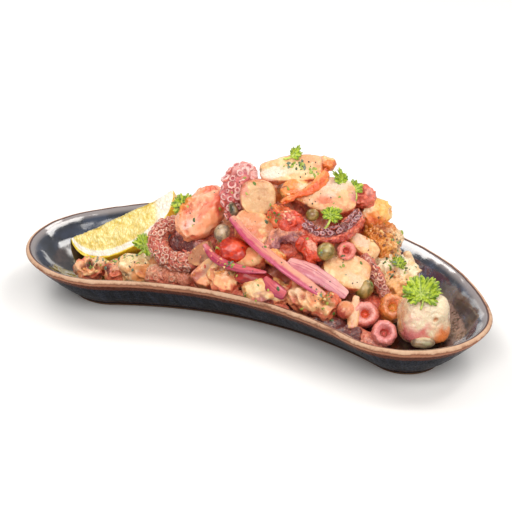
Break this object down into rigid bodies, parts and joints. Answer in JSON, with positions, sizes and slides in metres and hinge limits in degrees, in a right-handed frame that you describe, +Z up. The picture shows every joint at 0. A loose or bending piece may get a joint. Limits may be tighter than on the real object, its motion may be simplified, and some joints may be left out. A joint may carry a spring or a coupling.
{
  "type": "octopus salad on a plate",
  "caption": "Cooked octopus salad with lemon wedge, pickled red onion, tomato, capers and parsley, heaped in a dark kidney-shaped stoneware dish.",
  "frame": {"origin": "centre of the dish's outline, on the surface that it stands on", "axes": "+X along the dish's long side towards its narrower end, +Y towards its convex side, +Z up"},
  "size_m": [0.2806, 0.1506, 0.098],
  "materials": {
    "stoneware": "dark slate-blue glaze, glossy inside, with a thin tan break along the lip",
    "lemon": "lemon wedge, pale yellow juicy pulp, white pith and bright yellow peel",
    "octopus_peach": "moist cooked flesh, peach with pale fibres",
    "onion_pink": "pickled red onion strip, magenta edges and a pale middle, wet",
    "onion_lilac": "pickled red onion strip, pale lilac with fine stripes, wet",
    "caper": "caper, dull grey-olive, moist",
    "octopus_cream": "moist cooked flesh, creamy white cut faces with fine fibres",
    "octopus_orange": "moist cooked skin stained orange by oil and paprika",
    "octopus_pink": "moist cooked arm, pink with paler sucker rims",
    "octopus_red": "moist cooked skin, warm red with pale highlights",
    "octopus_coral": "moist cooked skin, coral with darker speckles",
    "octopus_rust": "rough cooked skin, rusty orange with olive streaks",
    "tomato_flesh": "wet halved tomato, bright red with a soft gloss",
    "octopus_mauve": "suckers, mauve to purple-grey with pale rims",
    "tomato_skin": "wet tomato skin, dark red, glossy",
    "parsley": "fresh parsley leaf, lime green, satin"
  },
  "bodies": {
    "root": {"plate": "stoneware", "lemon_wedge": "lemon", "octopus_heap": "octopus_peach", "onion_long": "onion_pink", "onion_wide": "onion_lilac", "onion_arc": "onion_pink", "onion_magenta": "onion_pink", "caper_left": "caper", "caper_mid": "caper", "caper_top": "caper", "caper_right": "caper", "caper_upper_left": "caper", "bit_green": "caper", "slice_summit": "octopus_cream", "nub_summit": "octopus_orange", "disc_top": "octopus_cream", "arm_top_left": "octopus_pink", "skin_strip": "octopus_red", "wedge_under": "octopus_orange", "slice_shoulder": "octopus_peach", "stub_right_top": "octopus_red", "wedge_right": "octopus_orange", "arm_smile": "octopus_coral", "chunk_red": "octopus_coral", "chunk_rust": "octopus_rust", "mantle_glossy": "octopus_coral", "tomato_half": "tomato_flesh", "slice_centre": "octopus_cream", "arch_mauve": "octopus_mauve", "bit_orange": "octopus_orange", "slivers_coral": "octopus_red", "cup_pink": "octopus_pink", "slice_broad": "octopus_cream", "slice_white": "octopus_cream", "arm_right_strip": "octopus_mauve", "arm_left_curl": "octopus_pink", "slice_left_edge": "octopus_cream", "slice_left_low": "octopus_cream", "tomato_skin": "tomato_skin", "chunk_front_left": "octopus_peach", "chunk_front_mid": "octopus_cream", "log_front": "octopus_peach", "ball_peach": "octopus_peach", "strip_peach": "octopus_peach", "cup_left": "octopus_pink", "cup_front": "octopus_pink", "cup_orange": "octopus_orange", "chunk_big": "octopus_cream", "chunk_herbed": "octopus_cream", "finger_cream": "octopus_cream", "arm_front_left": "octopus_coral", "chunk_left_cream": "octopus_cream", "bit_left_mid": "octopus_coral", "bit_left_end": "octopus_mauve", "parsley_top": "parsley", "parsley_right_top": "parsley", "parsley_centre": "parsley", "parsley_right": "parsley", "parsley_left": "parsley", "parsley_orange": "parsley"}
  },
  "joints": []
}
